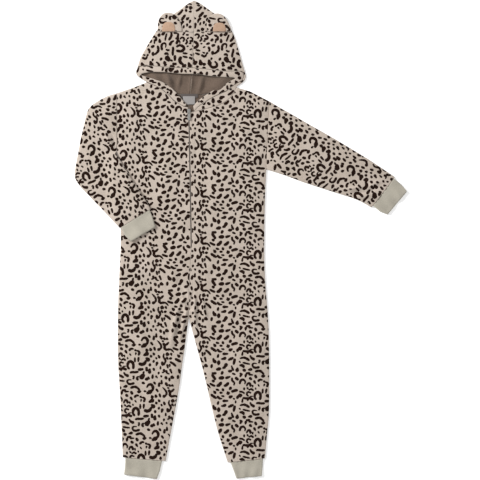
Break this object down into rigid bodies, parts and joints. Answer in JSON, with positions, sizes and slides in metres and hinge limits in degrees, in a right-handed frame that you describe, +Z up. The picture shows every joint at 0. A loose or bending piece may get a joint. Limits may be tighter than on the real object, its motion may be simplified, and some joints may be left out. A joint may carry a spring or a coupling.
{
  "type": "hooded one-piece pajama",
  "caption": "Child's hooded one-piece pajama laid flat, with ears on the hood, a front zip from neck to hip, long sleeves, long legs and ribbed cuffs.",
  "frame": {"origin": "centre of the bounding box in plan, on the surface the garment lies on, which is the underside of the wearer's left back panel", "axes": "+X to the wearer's left, +Y from the ankles to the hood's tip, +Z up from the surface through the front"},
  "size_m": [0.907, 1.305, 0.0164],
  "materials": {
    "cloth": "brushed knit, matt",
    "reverse": "unprinted reverse of the knit, matt",
    "rib": "doubled rib knit, matt",
    "peach": "plain knit, matt",
    "tape": "woven tape, matt",
    "label": "woven satin",
    "metal": "plated die-cast zinc"
  },
  "bodies": {
    "garment": {"back_right": "cloth", "back_left": "cloth", "front_right": "cloth", "front_left": "cloth", "sleeve_right": "cloth", "sleeve_left": "cloth", "hood_front_right": "cloth", "hood_front_left": "cloth", "hood_band": "cloth", "ear_right": "cloth", "ear_left": "cloth", "hood_back_right": "reverse", "hood_back_left": "reverse", "wrist_cuff_right": "rib", "wrist_cuff_left": "rib", "ankle_cuff_right": "rib", "ankle_cuff_left": "rib", "ear_inner_right": "peach", "ear_inner_left": "peach", "neck_tape": "tape", "zip_tape": "tape", "zip_chain": "tape", "neck_label": "label", "zip_slider": "metal"},
    "pull_tab": {"pull_tab": "metal"}
  },
  "joints": [
    {"name": "pull_tab_hinge", "type": "hinge", "parent": "garment", "child": "pull_tab", "pos_m": [-0.14111, 0.35, 0.0113], "axis": [-1, 0, 0], "range_deg": [0, 160]}
  ]
}
